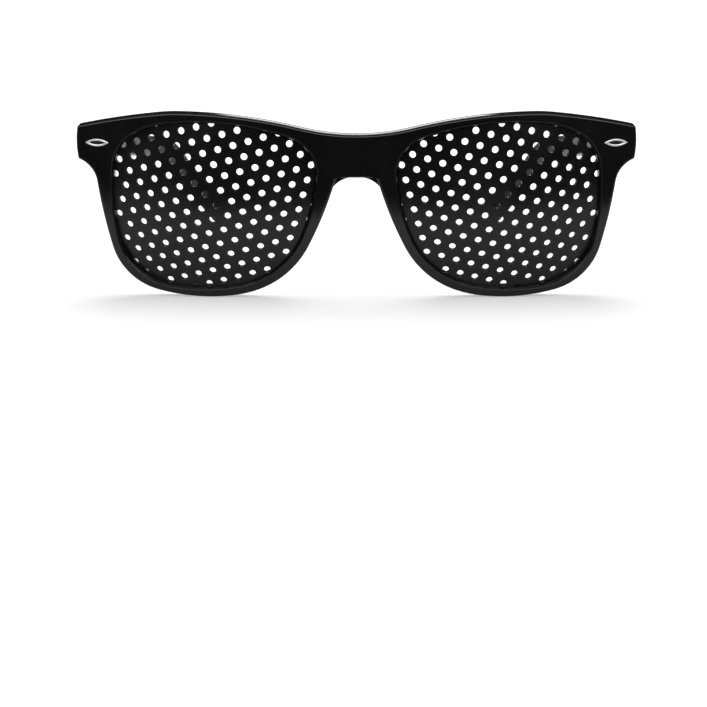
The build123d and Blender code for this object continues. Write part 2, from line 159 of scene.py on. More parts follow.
def mesh_piece(name, points, faces, sharp=180, closed=True, **values):
    """A new object from points in metres and four-cornered faces, one of whose points may be named twice,
    with edges over sharp degrees kept crisp, and with a value for each point under each further name.
    Points of a closed piece that lie on each other, as on the middle line, become one, and its faces all
    turn outwards."""
    mesh = bpy.data.meshes.new(name)
    mesh.from_pydata(points.tolist(), [], [list(dict.fromkeys(face)) for face in faces.tolist()])
    mesh.validate()
    mesh.shade_smooth()
    for label, each in values.items():
        mesh.attributes.new(label, "FLOAT", "POINT").data.foreach_set("value", each.astype(np.float32))
    if closed:
        work = bmesh.new()
        work.from_mesh(mesh)
        bmesh.ops.remove_doubles(work, verts=work.verts, dist=1e-6)
        bmesh.ops.recalc_face_normals(work, faces=work.faces)
        work.to_mesh(mesh)
        work.free()
    mesh.set_sharp_from_angle(angle=np.radians(sharp))
    piece = bpy.data.objects.new(name, mesh)
    bpy.context.scene.collection.objects.link(piece)
    return piece


# The left half's outline: along the brow, down the end piece, round the rim, up the nose and home
brow = arc_chain(np.array(brow_shares) * (half_width, front_height), brow_count)
end_top = brow[-1]
end_foot = complex(half_width * end_foot_share, end_top.imag - end_height)
end_run = end_foot - end_top
end_bulge = swell_share * sag(abs(end_run) / 2, end_swell)
end_middle = (end_top + end_foot) / 2 + 1j * end_bulge * end_run / abs(end_run)
end_side = arc_chain([(p.real, p.imag) for p in (end_top, end_middle, end_foot)], side_count)
rim_path = np.array(rim_shares) * (lens_half_width + rim_side, lens_z) + (lens_x, lens_z)
rim = arc_chain([(end_foot.real, end_foot.imag), *rim_path, (arch_side, arch_height)], rim_count)
arch = np.linspace(arch_side, 0, arch_count) + 1j * arch_height
outline = np.concatenate([brow[:-1], end_side[:-1], rim[:-1], arch])
for corner, corner_radius in ((end_top, end_corner), (end_foot, end_corner), (rim[-1], arch_corner)):
    outline = round_corner(outline, corner, corner_radius, corner_count)
middle_line = 1j * np.linspace(arch_height, brow[0].imag, middle_count)[1:-1]
tangent = np.gradient(outline)
outward = np.concatenate([1j * tangent / abs(tangent), 0 * middle_line])
outward[0] = 1j
outward[len(outline) - 1] = -1j
ring = np.concatenate([outline, middle_line])

# Every point of the ring looks at its own point of the opening. From just below the arch, across the
# bridge and up the middle line, the points share the rest of the turn by the way walked.
centre = complex(lens_x, lens_z)
bearing = np.unwrap(np.angle(ring - centre))
past_brow = np.arange(len(ring)) > len(brow)
last = np.flatnonzero((ring.imag > arch_height - bridge_drop) & (ring.real < lens_x) & past_brow)[0]
walked = np.concatenate([[0], np.cumsum(abs(np.diff(ring)))])
home = bearing[0] - 2 * np.pi
share = (walked[last:] - walked[last]) / (walked[-1] + abs(ring[-1] - ring[0]) - walked[last])
bearing[last:] = bearing[last] + (home - bearing[last]) * share


def opening(extra):
    """The opening's outline, grown by extra, at the ring's bearings seen from the lens centre."""
    line = lens_line(0, opening_count)[:-1] - centre
    angle = np.angle(line)
    order = np.argsort(angle)
    angle, reach = angle[order], abs(line[order])
    point = np.interp(bearing, angle, reach, period=2 * np.pi) * np.exp(1j * bearing)
    grow_x, grow_z = 1 + extra / lens_half_width, 1 + extra / lens_half_height
    return centre + point.real * grow_x + 1j * point.imag * grow_z


def face_row(flat, depth):
    """A row of the ring at flat places, this deep behind the front's curved face."""
    return np.stack([flat.real, flat.imag, -depth - sag(flat.real, front_radius)], axis=1)


# Rows of points go once round the rim's section: from half way back over the rounded front edge, in
# across the face, over the opening's edge, down its bevel, straight back, and out across the back
bend = np.radians([0, 22.5, 45, 67.5, 90])
rear_mouth = opening(-lens_bevel + inner_edge)
chamfer = inner_edge * 0.3
rows = [face_row(ring, front_thickness / 2)]
rows += [
    face_row(ring - outward * front_edge * (1 - np.cos(a)), front_edge * (1 - np.sin(a))) for a in bend
]
rows += [
    face_row((ring - outward * front_edge) * (1 - share) + opening(inner_edge) * share, 0)
    for share in (0.15, 0.4, 0.65, 0.85)
]
rows += [
    face_row(opening(inner_edge * (1 - np.sin(a))), inner_edge * (1 - np.cos(a)) * inner_edge_depth)
    for a in bend[:-1]
]
rows += [face_row(opening(-lens_bevel * share), bevel_depth * share) for share in (0.5, 0.94)]
rows += [
    face_row(opening(-lens_bevel), bevel_depth + bevel_lip),
    face_row(opening(-lens_bevel), front_thickness - inner_edge),
    face_row(opening(-lens_bevel + chamfer), front_thickness - chamfer),
    face_row(rear_mouth, front_thickness),
]
rows += [
    face_row(rear_mouth * (1 - share) + (ring - outward * rear_edge) * share, front_thickness)
    for share in (0.2, 0.5, 0.8)
]
rows += [
    face_row(ring - outward * rear_edge * (1 - np.cos(a)), front_thickness - rear_edge * (1 - np.sin(a)))
    for a in bend[::-1]
]
rim_points = np.vstack(rows)
# The faces in the middle plane, where the two halves meet, are left out
rim_faces = grid_faces(len(rows), len(ring), closed_rows=True)
on_middle = (abs(rim_points[:, 0]) < 1e-6)[rim_faces].all(axis=1)
rim_faces = rim_faces[~on_middle][:, ::-1]
rim_points, rim_faces = mirrored(rim_points, rim_faces)

# The lug behind an end piece, as tall as the temple that meets it, carried back to the butt joint. It
# starts inside the end piece, and its flat back has rounded edges.
lug_inner, lug_half, lug_edge, lug_corner, lug_reach, lug_tuck = 67.664, 3.75, 0.5, 0.8, 2.2, 0.1
lug_start, lug_depths, lug_insets = 6.0, (6.8, 10.0, butt_depth - lug_edge), (1.2, 1.8)
lug_side = outline[(outline.real > lug_inner) & (abs(outline.imag - hinge_z) < lug_half)]
lug_top = complex(lug_side[0].real, hinge_z + lug_half)
lug_floor = complex(lug_side[-1].real - lug_tuck, hinge_z - lug_half)
lug_line = np.concatenate([
    [complex(lug_inner, lug_top.imag), lug_top], lug_side, [lug_floor, complex(lug_inner, lug_floor.imag)],
])
lug_line = round_corner(lug_line, lug_top, lug_corner, corner_count)
lug_centre = complex(lug_inner + lug_reach, hinge_z)


def lug_row(inset, depth):
    """The lug's outline drawn in towards its middle by inset, at this depth behind the front's foot."""
    reach = abs(lug_line - lug_centre)
    flat = lug_centre + (lug_line - lug_centre) * (1 - inset / reach)
    return np.stack([flat.real, flat.imag, np.full(len(flat), -depth)], axis=1)


lug_rows = [lug_row(lug_edge, lug_start)]
lug_rows += [lug_row(0, depth) for depth in lug_depths]
lug_rows += [
    lug_row(lug_edge * (1 - np.cos(a)), butt_depth - lug_edge * (1 - np.sin(a))) for a in bend[1:]
]
lug_rows += [lug_row(inset, butt_depth) for inset in lug_insets]
lug_points = np.vstack(lug_rows + [[[lug_centre.real, lug_centre.imag, -butt_depth]]])
lug_cap = fan_faces((len(lug_rows) - 1) * len(lug_line), len(lug_line), len(lug_points) - 1)
lug_faces = np.vstack([grid_faces(len(lug_rows), len(lug_line)), lug_cap])
lug_points, lug_faces = mirrored(lug_points, lug_faces[:, ::-1])

# The saddle: an inverted U, seen from the front, whose wall thins and spreads towards its rounded lip
saddle_shares = [(0.0, 1.0), (0.46, 0.957), (0.717, 0.826), (0.953, 0.622), (1.27, 0.43)]
saddle_top, saddle_root, saddle_back = 32.25, 3.5, 9.0
saddle_wall, saddle_lip, saddle_spread, saddle_turn = 2.3, 1.5, 1.6, np.radians(70)
saddle_bead, leg_round, foot_draw = 0.86, 0.07, 0.12
saddle_count, bead_count = 16, 13


def saddle_line(spread, wall):
    """The saddle's inner and outer line at one depth: arcs down one leg, and the same line moved out by
    the wall along a direction that turns from straight up at the top to nearly sideways at the foot."""
    top = saddle_top + spread / 2
    points = [(2 * arch_side * x + spread * (1 - y), top * y) for x, y in saddle_shares]
    inner = arc_chain(points, saddle_count)
    turned = saddle_turn * inner.real / inner.real[-1]
    return inner, inner + wall * (np.sin(turned) + 1j * np.cos(turned))


# Each row of points runs back along the inner wall, round the lip's bead and forward along the outer
# wall. Over the last share of the leg the wall narrows to nothing, and its back draws in a little.
root_inner, root_outer = saddle_line(0, saddle_wall)
lip_inner, lip_outer = saddle_line(saddle_spread, saddle_lip)
around = np.linspace(0, np.pi, bead_count)
rise = np.array([0, 0.3, 0.6])
across = np.concatenate([0 * rise, (1 - np.cos(around)) / 2, 0 * rise + 1])
back = np.concatenate([rise, saddle_bead + (1 - saddle_bead) * np.sin(around), rise[::-1]])
leg = np.linspace(0, 1, len(root_inner))
near_foot = np.clip((leg - 1 + leg_round) / leg_round, 0, 1)
narrow = np.sqrt(1 - near_foot ** 2)[:, None]
half_across = 0.5 + (across - 0.5) * narrow
inner = root_inner[:, None] * (1 - back) + lip_inner[:, None] * back
outer = root_outer[:, None] * (1 - back) + lip_outer[:, None] * back
flat = inner * (1 - half_across) + outer * half_across
depth = saddle_root + (saddle_back - saddle_root) * back * (1 - foot_draw * (1 - narrow))
saddle_points = np.stack([flat.real, flat.imag, -depth - sag(flat.real, front_radius)], axis=-1)
saddle_points[0, :, 0] = 0
saddle_points, saddle_faces = mirrored(saddle_points.reshape(-1, 3), grid_faces(len(leg), len(across)))

points = np.vstack([rim_points, lug_points, saddle_points])
faces = np.vstack([
    rim_faces, lug_faces + len(rim_points), saddle_faces + len(rim_points) + len(lug_points),
])
front = mesh_piece("front_moulding", place(points), faces, sharp=35)


def shader(name):
    """A new material and its nodes, its links, its texture coordinates and its Principled BSDF."""
    material = bpy.data.materials.new(name)
    material.use_nodes = True
    tree = material.node_tree
    place_node = tree.nodes.new("ShaderNodeTexCoord")
    return material, tree.nodes, tree.links, place_node, tree.nodes["Principled BSDF"]


# Handling marks on moulded plastic: faint cloudy smears and sparse hair scratches, as two masks
handling = bpy.data.node_groups.new("handling_marks", "ShaderNodeTree")
handling.interface.new_socket("Vector", in_out="INPUT", socket_type="NodeSocketVector")
handling.interface.new_socket("Smear", in_out="OUTPUT", socket_type="NodeSocketFloat")
handling.interface.new_socket("Scratch", in_out="OUTPUT", socket_type="NodeSocketFloat")
entry, leave = handling.nodes.new("NodeGroupInput"), handling.nodes.new("NodeGroupOutput")
cloud = handling.nodes.new("ShaderNodeTexNoise")
cloud.inputs["Scale"].default_value = 55
cloud.inputs["Detail"].default_value = 4
handling.links.new(entry.outputs["Vector"], cloud.inputs["Vector"])
soften = handling.nodes.new("ShaderNodeMapRange")
soften.inputs["From Min"].default_value = 0.42
soften.inputs["From Max"].default_value = 0.72
handling.links.new(cloud.outputs["Fac"], soften.inputs["Value"])
handling.links.new(soften.outputs["Result"], leave.inputs["Smear"])
stretch = handling.nodes.new("ShaderNodeMapping")
stretch.inputs["Rotation"].default_value = (0.3, 0.5, 0.9)
stretch.inputs["Scale"].default_value = (260, 2400, 1200)
handling.links.new(entry.outputs["Vector"], stretch.inputs["Vector"])
hairs = handling.nodes.new("ShaderNodeTexNoise")
hairs.inputs["Scale"].default_value = 1
hairs.inputs["Detail"].default_value = 2
handling.links.new(stretch.outputs[0], hairs.inputs["Vector"])
thin = handling.nodes.new("ShaderNodeMapRange")
thin.inputs["From Min"].default_value = 0.7
thin.inputs["From Max"].default_value = 0.78
handling.links.new(hairs.outputs["Fac"], thin.inputs["Value"])
handling.links.new(thin.outputs["Result"], leave.inputs["Scratch"])


def marked_plastic(name, colour, specular, roughness, smear, scratch, orange_peel):
    """Black plastic whose colour and roughness rise a little where it was handled or scratched, over the
    slight unevenness that the mould leaves."""
    material, nodes, links, place_node, surface = shader(name)
    surface.inputs["IOR"].default_value = 1.5
    surface.inputs["Specular IOR Level"].default_value = specular
    marks = nodes.new("ShaderNodeGroup")
    marks.node_tree = handling
    links.new(place_node.outputs["Object"], marks.inputs["Vector"])
    film = nodes.new("ShaderNodeMix")
    film.data_type = "RGBA"
    film.inputs["A"].default_value = (*colour, 1)
    film.inputs["B"].default_value = (0.014, 0.0138, 0.0132, 1)
    links.new(marks.outputs["Smear"], film.inputs["Factor"])
    links.new(film.outputs["Result"], surface.inputs["Base Color"])
    smears = nodes.new("ShaderNodeMath")
    smears.operation = "MULTIPLY_ADD"
    smears.inputs[1].default_value = smear
    smears.inputs[2].default_value = roughness
    links.new(marks.outputs["Smear"], smears.inputs[0])
    scratches = nodes.new("ShaderNodeMath")
    scratches.operation = "MULTIPLY_ADD"
    scratches.inputs[1].default_value = scratch
    links.new(marks.outputs["Scratch"], scratches.inputs[0])
    links.new(smears.outputs[0], scratches.inputs[2])
    links.new(scratches.outputs[0], surface.inputs["Roughness"])
    waves = nodes.new("ShaderNodeTexNoise")
    waves.inputs["Scale"].default_value = 420
    waves.inputs["Detail"].default_value = 3
    links.new(place_node.outputs["Object"], waves.inputs["Vector"])
    bump = nodes.new("ShaderNodeBump")
    bump.inputs["Strength"].default_value = orange_peel
    bump.inputs["Distance"].default_value = 0.00005
    links.new(waves.outputs["Fac"], bump.inputs["Height"])
    links.new(bump.outputs["Normal"], surface.inputs["Normal"])
    return material


frame_black = marked_plastic(
    "frame_black_gloss", colour=(0.0075, 0.0075, 0.008), specular=0.45, roughness=0.13, smear=0.08,
    scratch=0.15, orange_peel=0.1,
)
front.data.materials.append(frame_black)
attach(front, "front")
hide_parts("front_frame")

# THE LENSES are thin black plastic sheets, curved both ways and pierced with rows of round holes. They
# are moulded with the holes in, whose rims are slightly broken, and snap into a groove in each rim.
lens_radius, lens_radius_up, lens_turn, lens_rise, lens_proud = 106.0, 114.0, np.radians(2.5), 0.8, 0.75
lens_thickness, sheet_grow, hole_radius, hole_lip = 1.0, 0.1, 0.9, 0.07
hole_sides, hole_turn, grid_reach, edge_count, corrections = 22, 0.1, 14, 14, 4
inner_slack, rim_slack, cut_slack = 0.002, 0.03, 0.00001
hole_pitch, row_pitch, hole_slope, hole_shift = 4.1, 3.99, np.radians(14.5), np.array([-4.83, 1.27])
lens_across = np.array([np.cos(lens_turn), 0, -np.sin(lens_turn)])
lens_out = np.array([np.sin(lens_turn), 0, np.cos(lens_turn)])
crown = np.array([lens_x, lens_z + lens_rise, lens_proud - sag(lens_x, front_radius)])


def sheet_point(a, b, rise):
    """The sheet's point at a across and b up, measured along its curves from the crown, and rise in front
    of its middle: the level radius turns by a, and the upright one about its end by b."""
    level = np.cos(a / lens_radius)[..., None] * lens_out + np.sin(a / lens_radius)[..., None] * lens_across
    tilt = b / lens_radius_up
    facing = np.cos(tilt)[..., None] * level + np.sin(tilt)[..., None] * [0, 1, 0]
    axis = crown - lens_radius * lens_out + (lens_radius - lens_radius_up) * level
    return axis + facing * (lens_radius_up + rise)


# The sheet's edge, brought from the front's view onto the curved sheet by a few corrections
edge = lens_line(sheet_grow, edge_count)[:-1]
wanted = np.stack([edge.real, edge.imag], axis=1)
edge_ab = wanted - crown[:2]
for _ in range(corrections):
    edge_ab = edge_ab + wanted - sheet_point(edge_ab[:, 0], edge_ab[:, 1], 0)[:, :2]

# The holes' middles, on a grid of triangles whose rows rise towards the nose
row_step = hole_pitch * np.array([-np.cos(hole_slope), np.sin(hole_slope)])
slant = np.radians(60) - hole_slope
line_step = row_pitch * np.array([-np.cos(slant), -np.sin(slant)])
steps = np.arange(-grid_reach, grid_reach + 1)
i, j = np.meshgrid(steps, steps)
holes = i.reshape(-1, 1) * row_step + j.reshape(-1, 1) * line_step + hole_shift


def inside(points, line):
    """Which points lie inside a closed line: a level ray from each crosses it an odd number of times."""
    x, y = points[:, :1], points[:, 1:]
    ax, ay = line.T
    bx, by = np.roll(line, -1, axis=0).T
    straddles = (ay > y) != (by > y)
    crosses = x < ax + (y - ay) * (bx - ax) / np.where(by == ay, 1, by - ay)
    return (straddles & crosses).sum(axis=1) % 2 == 1


# A hole is kept where its middle lies in the opening grown by half its radius
grown = np.array(lens_shares) * (lens_half_width + hole_radius / 2, lens_half_height + hole_radius / 2)
holes = holes[inside(holes, grown - (0, lens_rise))]

# The sheet is cut into triangles along its edge and its holes; those inside a hole are left out
angles = np.linspace(0, 2 * np.pi, hole_sides, endpoint=False) + hole_turn
circle = np.stack([np.cos(angles), np.sin(angles)], axis=1)
mouth = hole_radius + hole_lip
ring_points = (holes[:, None] + mouth * circle).reshape(-1, 2)
ring_index = np.arange(len(ring_points)).reshape(len(holes), hole_sides) + len(edge_ab)
loops = [list(range(len(edge_ab)))] + ring_index.tolist()
borders = [(a, b) for loop in loops for a, b in zip(loop, loop[1:] + loop[:1])]
flat_points = np.vstack([edge_ab, ring_points])
cut = delaunay_2d_cdt([tuple(p) for p in flat_points], borders, [], 0, cut_slack, False)
flat_points = np.array([tuple(p) for p in cut[0]])
triangles = np.array([tuple(face) for face in cut[2]])
middles = flat_points[triangles].mean(axis=1)
nearest = np.sqrt(((middles[:, None] - holes[None]) ** 2).sum(axis=2)).min(axis=1)
inner_reach = mouth * np.cos(np.pi / hole_sides) - inner_slack
triangles = triangles[inside(middles, edge_ab) & (nearest > inner_reach)]
used = np.unique(triangles)
renumber = np.zeros(len(flat_points), dtype=int)
renumber[used] = np.arange(len(used))
flat_points, triangles = flat_points[used], renumber[triangles]

# The sheet's free edges, round each hole and along its outline, are walled from front to back, and the
# walls of a hole widen to its broken rims
sides = np.concatenate([triangles[:, [0, 1]], triangles[:, [1, 2]], triangles[:, [2, 0]]])
_, first, seen = np.unique(np.sort(sides, axis=1), axis=0, return_index=True, return_counts=True)
free = sides[first[seen == 1]]
count = len(flat_points)
to_hole = flat_points[:, None] - holes[None]
gap = np.sqrt((to_hole ** 2).sum(axis=2))
on_hole = abs(gap.min(axis=1) - mouth) < rim_slack
direction = to_hole[np.arange(count), gap.argmin(axis=1)] / gap.min(axis=1)[:, None]
levels = [
    (0, lens_thickness / 2), (-hole_lip, lens_thickness / 2 - hole_lip),
    (-hole_lip, hole_lip - lens_thickness / 2), (0, -lens_thickness / 2),
]
layers = []
for grow, rise in levels:
    moved = flat_points + direction * (grow * on_hole)[:, None]
    layers.append(sheet_point(moved[:, 0], moved[:, 1], rise))
sheet_points = np.vstack(layers)
walls = [
    np.stack([free[:, 1], free[:, 0], free[:, 0] + count, free[:, 1] + count], axis=1) + level * count
    for level in range(3)
]
sheet_faces = np.vstack([triangles[:, [0, 1, 2, 2]], triangles[:, [2, 1, 0, 0]] + 3 * count, *walls])
lens_black = marked_plastic(
    "lens_black_satin", colour=(0.009, 0.009, 0.0095), specular=0.4, roughness=0.24, smear=0.14,
    scratch=0.12, orange_peel=0.16,
)
for name, hand in (("left", 1), ("right", -1)):
    lens = mesh_piece(f"pierced_lens_{name}", place(sheet_points * (hand, 1, 1)), sheet_faces, sharp=30)
    lens.data.materials.append(lens_black)
    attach(lens, "front")
    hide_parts(f"lens_{name}")

# THE TEMPLES are moulded in the same black plastic. Each is a flat bar with rounded edges that thins
# from its square butt at the hinge, curves in along the head and hooks down behind the ear.
temple_x, temple_width, temple_height = 70.1644, 4.0, 7.2
temple_slope, butt_gap, straight_length, hook_start = np.radians(6.25), 0.15, 64.0, 92.0
hook_radius, hook_angle, hook_length, inward_radius, tip_round = 24.0, np.radians(44), 26.98, 104.0, 3.6
slim, low, tall_tip, broad_start, broad_share = 0.72, 0.92, 1.26, 0.62, 0.3
squareness, corner_pull, butt_blend, butt_inset, butt_round = 0.42, 0.16, 10.0, 0.0875, 0.28
straight_start, curve_start, tip_angles = 14.0, 66.0, np.radians([15, 30, 45, 60, 72, 82, 89.5])
butt_count, straight_count, curve_count, section_count = 8, 12, 44, 48
path_length = hook_start + hook_radius * hook_angle + hook_length
temple_foot = place([temple_x, hinge_z, -butt_depth])
temple_along = np.array([0, np.cos(temple_slope), -np.sin(temple_slope)])
temple_up = np.array([0, np.sin(temple_slope), np.cos(temple_slope)])


def ease(share):
    """From 0 to 1 with a slow start and a slow end: three times the square less twice the cube."""
    step = np.clip(share, 0, 1)
    return step * step * (3 - 2 * step)


def temple_surface(s, angle):
    """Points at distance s along a temple and at an angle round it. The middle line runs straight, turns
    down on the hook's arc, and leans inwards on a second arc; the section is a rounded rectangle."""
    bend = np.clip((s - hook_start) / hook_radius, 0, hook_angle)
    past = np.maximum(s - hook_start - hook_radius * hook_angle, 0)
    along = np.minimum(s, hook_start) + hook_radius * np.sin(bend) + past * np.cos(bend)
    fall = hook_radius * (1 - np.cos(bend)) + past * np.sin(bend)
    curved = np.maximum(along - straight_length, 0)
    inward = sag(curved, inward_radius)
    lead = curved / (inward_radius - inward)
    heading = np.stack([np.cos(bend), -np.sin(bend), -lead * np.cos(bend)], axis=-1)
    heading /= np.linalg.norm(heading, axis=-1, keepdims=True)
    upward = np.stack([np.sin(bend), np.cos(bend), 0 * bend], axis=-1)
    sideways = np.cross(upward, heading)
    taper = np.clip(s / straight_length, 0, 1)
    broad = (tall_tip - low) * ease((s / path_length - broad_start) / broad_share)
    thick = temple_width * (1 - (1 - slim) * taper)
    tall = temple_height * (1 - (1 - low) * taper + broad)
    end = np.sqrt(np.clip(1 - (np.maximum(s - path_length + tip_round, 0) / tip_round) ** 2, 0, 1))
    round_x = np.sign(np.cos(angle)) * abs(np.cos(angle)) ** squareness
    round_y = np.sign(np.sin(angle)) * abs(np.sin(angle)) ** squareness
    middle = np.stack([along, -fall, -inward], axis=-1)
    return (
        middle + sideways * (thick * end / 2 * round_x)[..., None]
        + upward * (tall * end / 2 * round_y)[..., None]
    )


# Distances along the bar, closest together round the tip, and evenly shared angles drawn to the corners
stations = np.concatenate([
    np.linspace(0, butt_blend, butt_count), np.linspace(straight_start, straight_length, straight_count),
    np.linspace(curve_start, path_length - tip_round, curve_count),
    path_length - tip_round * (1 - np.sin(tip_angles)),
])
turns = np.linspace(0, 2 * np.pi, section_count, endpoint=False)
s, angle = np.meshgrid(stations, turns - corner_pull * np.sin(4 * turns), indexing="ij")
bar = temple_surface(s, angle)
bar = temple_foot + mm * (bar[..., :1] * temple_along + bar[..., 1:2] * temple_up + bar[..., 2:] * side)
# The butt is cut square to the front: points near it slide along the bar to the butt's plane. Its first
# two rows are a little slimmer than the bar, which breaks its edge.
short = (place([0, 0, -butt_depth - butt_gap]) - bar) @ -out / (temple_along @ -out)
fade = np.clip(1 - stations / butt_blend, 0, 1)[:, None]
bar += (short * fade)[..., None] * temple_along
butt = bar[0].mean(axis=0) + (bar[0] - bar[0].mean(axis=0)) * (1 - butt_inset)
butt_rows = [butt, butt + butt_round * mm * temple_along]
bar_points, bar_faces = closed_tube(np.concatenate([butt_rows, bar[1:]]))
for name, hand in (("left", 1), ("right", -1)):
    temple = mesh_piece(f"temple_bar_{name}", bar_points * (hand, 1, 1), bar_faces, sharp=40)
    temple.data.materials.append(frame_black)
    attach(temple, f"{name}_temple")
    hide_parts(f"temple_{name}")

# THE HINGES are stamped and rolled steel: two barrels on a foot in the front, one on a plate let into
# the temple, and a slotted screw through all three. The solids have the right shape and stay.
steel, nodes, links, place_node, surface = shader("hinge_steel")
surface.inputs["Metallic"].default_value = 1
grain = nodes.new("ShaderNodeTexNoise")
grain.inputs["Scale"].default_value = 900
grain.inputs["Detail"].default_value = 4
links.new(place_node.outputs["Object"], grain.inputs["Vector"])
tone = nodes.new("ShaderNodeMix")
tone.data_type = "RGBA"
tone.inputs["A"].default_value = (0.45, 0.45, 0.47, 1)
tone.inputs["B"].default_value = (0.59, 0.585, 0.58, 1)
links.new(grain.outputs["Fac"], tone.inputs["Factor"])
links.new(tone.outputs["Result"], surface.inputs["Base Color"])
dull = nodes.new("ShaderNodeMapRange")
dull.inputs["To Min"].default_value = 0.22
dull.inputs["To Max"].default_value = 0.42
links.new(grain.outputs["Fac"], dull.inputs["Value"])
links.new(dull.outputs["Result"], surface.inputs["Roughness"])
press = nodes.new("ShaderNodeBump")
press.inputs["Strength"].default_value = 0.15
press.inputs["Distance"].default_value = 0.00003
links.new(grain.outputs["Fac"], press.inputs["Height"])
links.new(press.outputs["Normal"], surface.inputs["Normal"])
for node in ("front_hinge_leaf", "temple_hinge_leaf", "hinge_screw"):
    for name in ("left", "right"):
        steel_part = frame["nodes"][f"{node}_{name}"]
        steel_part.data.materials.clear()
        steel_part.data.materials.append(steel)

# THE PLAQUES are bright plated metal: a pointed oval with a rounded rim round a dark dished middle,
# pressed into a shallow seat on each end piece with its long axis level.
plaque_x, plaque_z, plaque_half, plaque_tall, oval_count = 67.2, 41.5444, 3.1, 1.0, 64
plaque_tilt = np.arcsin(plaque_x / front_radius)
plaque_across = np.array([np.cos(plaque_tilt), 0, -np.sin(plaque_tilt)])
plaque_out = np.array([np.sin(plaque_tilt), 0, np.cos(plaque_tilt)])
plaque_middle = np.array([plaque_x, plaque_z, -sag(plaque_x, front_radius)])
oval_radius = (plaque_half ** 2 + plaque_tall ** 2) / (2 * plaque_tall)
# How far in from the edge, how high above the front's face, and how dark each ring of the plaque is
plaque_rings = np.array([
    (0.0, -0.3, 0), (0.0, 0.12, 0), (0.04, 0.24, 0), (0.11, 0.31, 0), (0.2, 0.34, 0), (0.3, 0.34, 0),
    (0.4, 0.3, 0), (0.48, 0.24, 0), (0.53, 0.14, 1), (0.58, 0.1, 1), (0.72, 0.1, 1), (0.93, 0.1, 1),
])
t = np.linspace(0, 2 * np.pi, oval_count, endpoint=False)
x = plaque_half * np.cos(t)
y = np.sign(np.sin(t)) * (np.sqrt(oval_radius ** 2 - x ** 2) - oval_radius + plaque_tall)
inset, rise, dark_ring = plaque_rings.T[:, :, None]
ring_x, ring_y = x * (1 - 2 * inset / plaque_half), y * (1 - inset / plaque_tall)
oval = (
    plaque_middle + ring_x[..., None] * plaque_across + ring_y[..., None] * [0, 1, 0]
    + rise[..., None] * plaque_out
)
plaque_points, plaque_faces = closed_tube(oval)
darkness = np.concatenate([np.repeat(dark_ring, len(t)), [0, 1]])
bright, nodes, links, place_node, surface = shader("plaque_bright_metal")
polish = nodes.new("ShaderNodeTexNoise")
polish.inputs["Scale"].default_value = 700
links.new(place_node.outputs["Object"], polish.inputs["Vector"])
tarnish = nodes.new("ShaderNodeMix")
tarnish.data_type = "RGBA"
tarnish.inputs["A"].default_value = (0.96, 0.96, 0.97, 1)
tarnish.inputs["B"].default_value = (0.84, 0.84, 0.85, 1)
links.new(polish.outputs["Fac"], tarnish.inputs["Factor"])
dark = nodes.new("ShaderNodeAttribute")
dark.attribute_name = "dish"
colour = nodes.new("ShaderNodeMix")
colour.data_type = "RGBA"
colour.inputs["B"].default_value = (0.02, 0.02, 0.022, 1)
links.new(tarnish.outputs["Result"], colour.inputs["A"])
links.new(dark.outputs["Fac"], colour.inputs["Factor"])
links.new(colour.outputs["Result"], surface.inputs["Base Color"])
metal = nodes.new("ShaderNodeMath")
metal.operation = "SUBTRACT"
metal.inputs[0].default_value = 1
links.new(dark.outputs["Fac"], metal.inputs[1])
links.new(metal.outputs[0], surface.inputs["Metallic"])
shine = nodes.new("ShaderNodeMapRange")
shine.inputs["To Min"].default_value = 0.32
shine.inputs["To Max"].default_value = 0.46
links.new(polish.outputs["Fac"], shine.inputs["Value"])
links.new(shine.outputs["Result"], surface.inputs["Roughness"])
for name, hand in (("left", 1), ("right", -1)):
    points = place(plaque_points * (hand, 1, 1))
    plaque = mesh_piece(f"end_plaque_{name}", points, plaque_faces, sharp=50, dish=darkness)
    plaque.data.materials.append(bright)
    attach(plaque, "front")
    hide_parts(f"front_plaque_{name}")

# THE STUDIO is a white table that sweeps up into a white wall. A soft lamp hangs close over the glasses,
# a narrow one stands high behind them and two weak ones at the sides. Reflections don't see the soft
# lamp, and they alone see three cards: a black one in front, a black one behind and a white one in front.
table_half, wall_height, sweep_radius, wall_distance, sweep_count = 3.0, 3.0, 0.8, 1.8, 24
sweep = np.linspace(0, np.pi / 2, sweep_count)
profile = np.concatenate([
    [[-table_half, 0]],
    np.stack([wall_distance + sweep_radius * np.sin(sweep), sweep_radius * (1 - np.cos(sweep))], axis=1),
    [[wall_distance + sweep_radius, wall_height]],
])


def studio_sheet(name, profile, half_length):
    """An open sheet: a profile, given as places back and up in metres, carried to either side."""
    points = np.array([[x, y, z] for y, z in profile for x in (-half_length, half_length)])
    return mesh_piece(name, points, grid_faces(len(profile), 2, closed_columns=False), closed=False)


cove = studio_sheet("table_and_wall", profile, table_half)
white, nodes, links, place_node, surface = shader("table_white")
surface.inputs["Base Color"].default_value = (0.82, 0.82, 0.82, 1)
surface.inputs["Roughness"].default_value = 0.9
surface.inputs["Specular IOR Level"].default_value = 0
surface.inputs["Emission Color"].default_value = (1, 1, 1, 1)


def node_math(operation, *values):
    """A Math node among the present nodes and links, whose values are sockets or numbers."""
    step = nodes.new("ShaderNodeMath")
    step.operation = operation
    for socket, value in zip(step.inputs, values):
        if isinstance(value, (int, float)):
            socket.default_value = value
        else:
            links.new(value, socket)
    return step.outputs[0]


def ramp(value, low, high, at_low, at_high):
    """A smooth rise of a value from at_low at low to at_high at high."""
    step = nodes.new("ShaderNodeMapRange")
    step.interpolation_type = "SMOOTHSTEP"
    for label, number in zip(("From Min", "From Max", "To Min", "To Max"), (low, high, at_low, at_high)):
        step.inputs[label].default_value = number
    links.new(value, step.inputs["Value"])
    return step.outputs["Result"]


